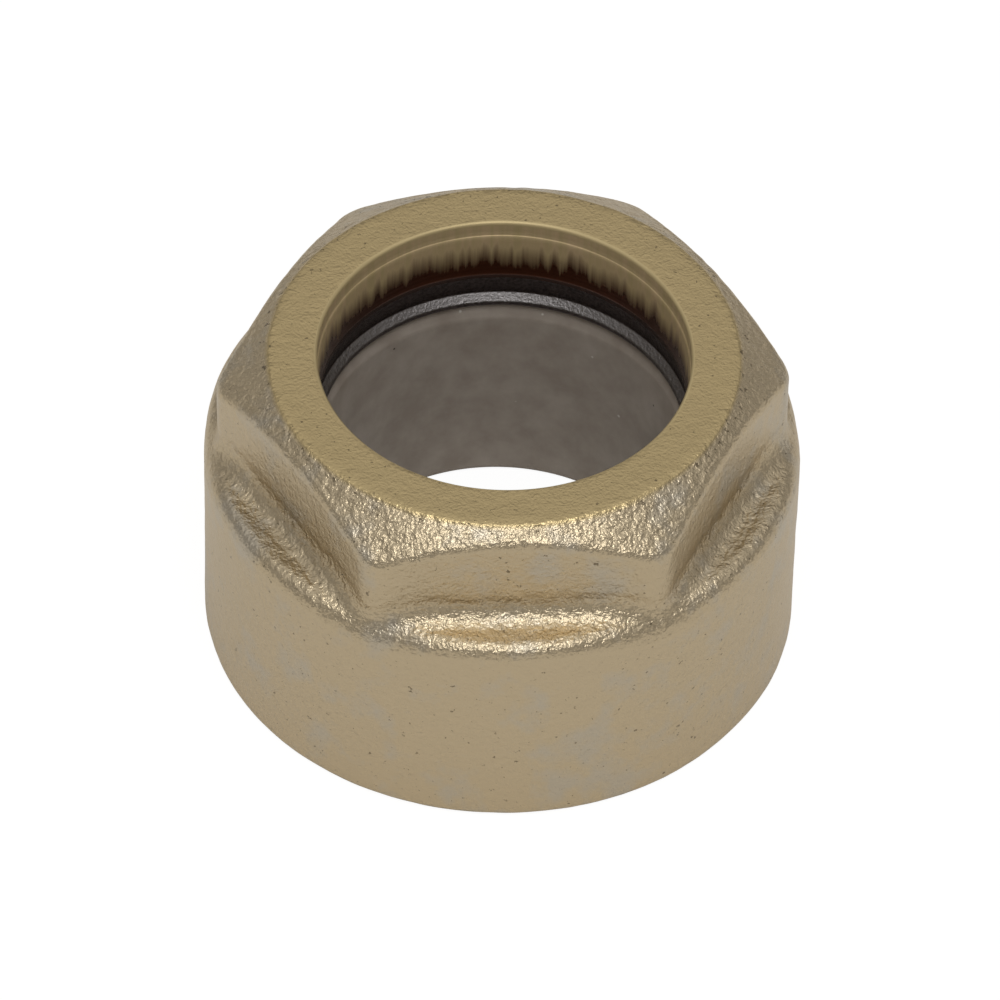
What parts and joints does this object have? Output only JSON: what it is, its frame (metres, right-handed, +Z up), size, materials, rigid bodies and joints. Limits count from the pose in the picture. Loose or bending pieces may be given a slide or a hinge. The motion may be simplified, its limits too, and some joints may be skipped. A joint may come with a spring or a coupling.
{
  "type": "union nut with nipple",
  "caption": "Forged union nut whose round threaded skirt blends into a hexagon, holding a clamp ring and a soft sealing nipple that it turns about and presses on a pipe.",
  "frame": {"origin": "on the axis of the pipe, in the plane that the skirt stands on", "axes": "+Z up along the axis, from the open end of the skirt to the hexagon; two flats of the hexagon face +Y and -Y"},
  "size_m": [0.0298, 0.0296, 0.0176],
  "materials": {
    "nickel_plate": "blasted forging, satin nickel plate over brass",
    "ring_metal": "dark grained metal with a bright bevel",
    "seal_rubber": "smooth matte dark grey moulding with fine dust"
  },
  "bodies": {
    "nut": {"union_nut": "nickel_plate"},
    "insert": {"clamp_ring": "ring_metal", "sealing_nipple": "seal_rubber"}
  },
  "joints": [
    {"name": "nut_swivel", "type": "hinge", "parent": "nut", "child": "insert", "pos_m": [0, 0, 0], "axis": [0, 0, 1], "continuous": true}
  ]
}
